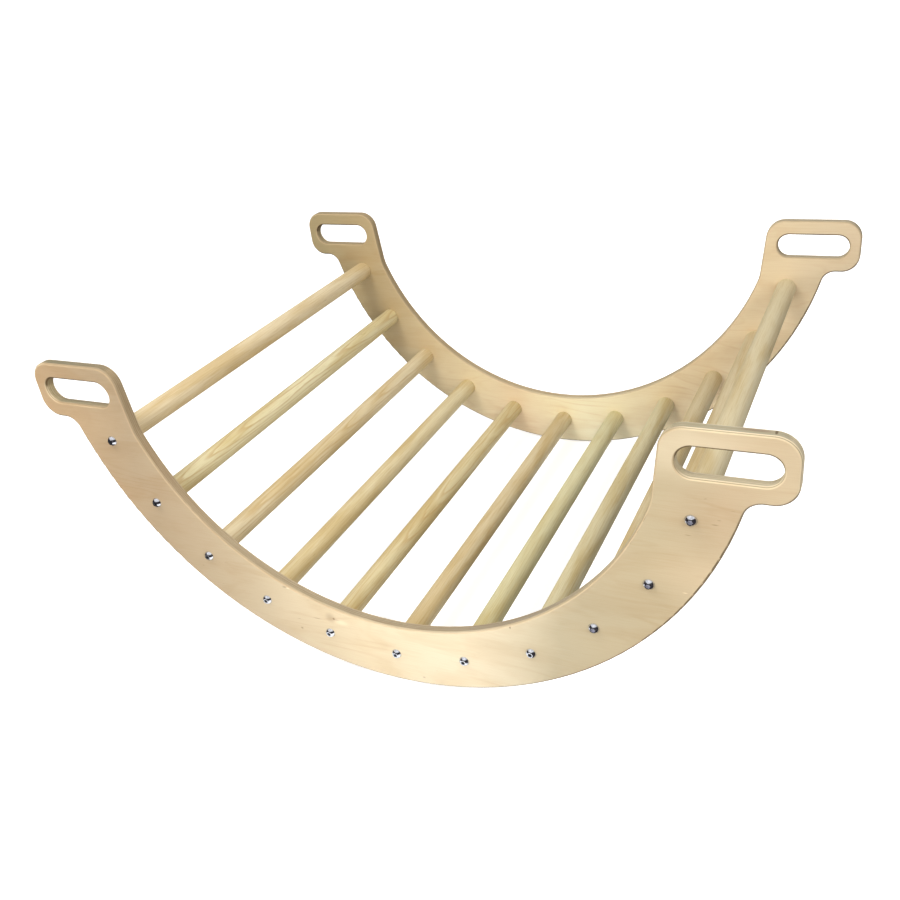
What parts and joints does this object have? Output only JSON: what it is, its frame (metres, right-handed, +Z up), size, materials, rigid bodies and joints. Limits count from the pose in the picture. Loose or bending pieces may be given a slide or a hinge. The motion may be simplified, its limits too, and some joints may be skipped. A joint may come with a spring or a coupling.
{
  "type": "rocker arch",
  "caption": "Child's wooden rocker arch: curved side panels with hand slots, joined by round rungs that are bolted on at both ends.",
  "frame": {"origin": "on the floor, under the middle of the arch, where the bottom of the band touches the floor", "axes": "+X along the rocking direction, to the right in the picture; +Y along the rungs, away from the viewer; +Z up"},
  "size_m": [0.972, 0.7088, 0.4229],
  "materials": {
    "plywood": "satin clear lacquer on birch plywood",
    "rung_wood": "satin clear lacquer on a turned hardwood rod",
    "bolt_metal": "bright plated",
    "insert_metal": "plain turned"
  },
  "bodies": {
    "root": {"side_panel_front": "plywood", "side_panel_back": "plywood", "rung_01": "rung_wood", "rung_02": "rung_wood", "rung_03": "rung_wood", "rung_04": "rung_wood", "rung_05": "rung_wood", "rung_06": "rung_wood", "rung_07": "rung_wood", "rung_08": "rung_wood", "rung_09": "rung_wood", "rung_10": "rung_wood", "rung_11": "rung_wood", "rung_01_bolts": "bolt_metal", "rung_02_bolts": "bolt_metal", "rung_03_bolts": "bolt_metal", "rung_04_bolts": "bolt_metal", "rung_05_bolts": "bolt_metal", "rung_06_bolts": "bolt_metal", "rung_07_bolts": "bolt_metal", "rung_08_bolts": "bolt_metal", "rung_09_bolts": "bolt_metal", "rung_10_bolts": "bolt_metal", "rung_11_bolts": "bolt_metal", "rung_01_inserts": "insert_metal", "rung_02_inserts": "insert_metal", "rung_03_inserts": "insert_metal", "rung_04_inserts": "insert_metal", "rung_05_inserts": "insert_metal", "rung_06_inserts": "insert_metal", "rung_07_inserts": "insert_metal", "rung_08_inserts": "insert_metal", "rung_09_inserts": "insert_metal", "rung_10_inserts": "insert_metal", "rung_11_inserts": "insert_metal"}
  },
  "joints": []
}
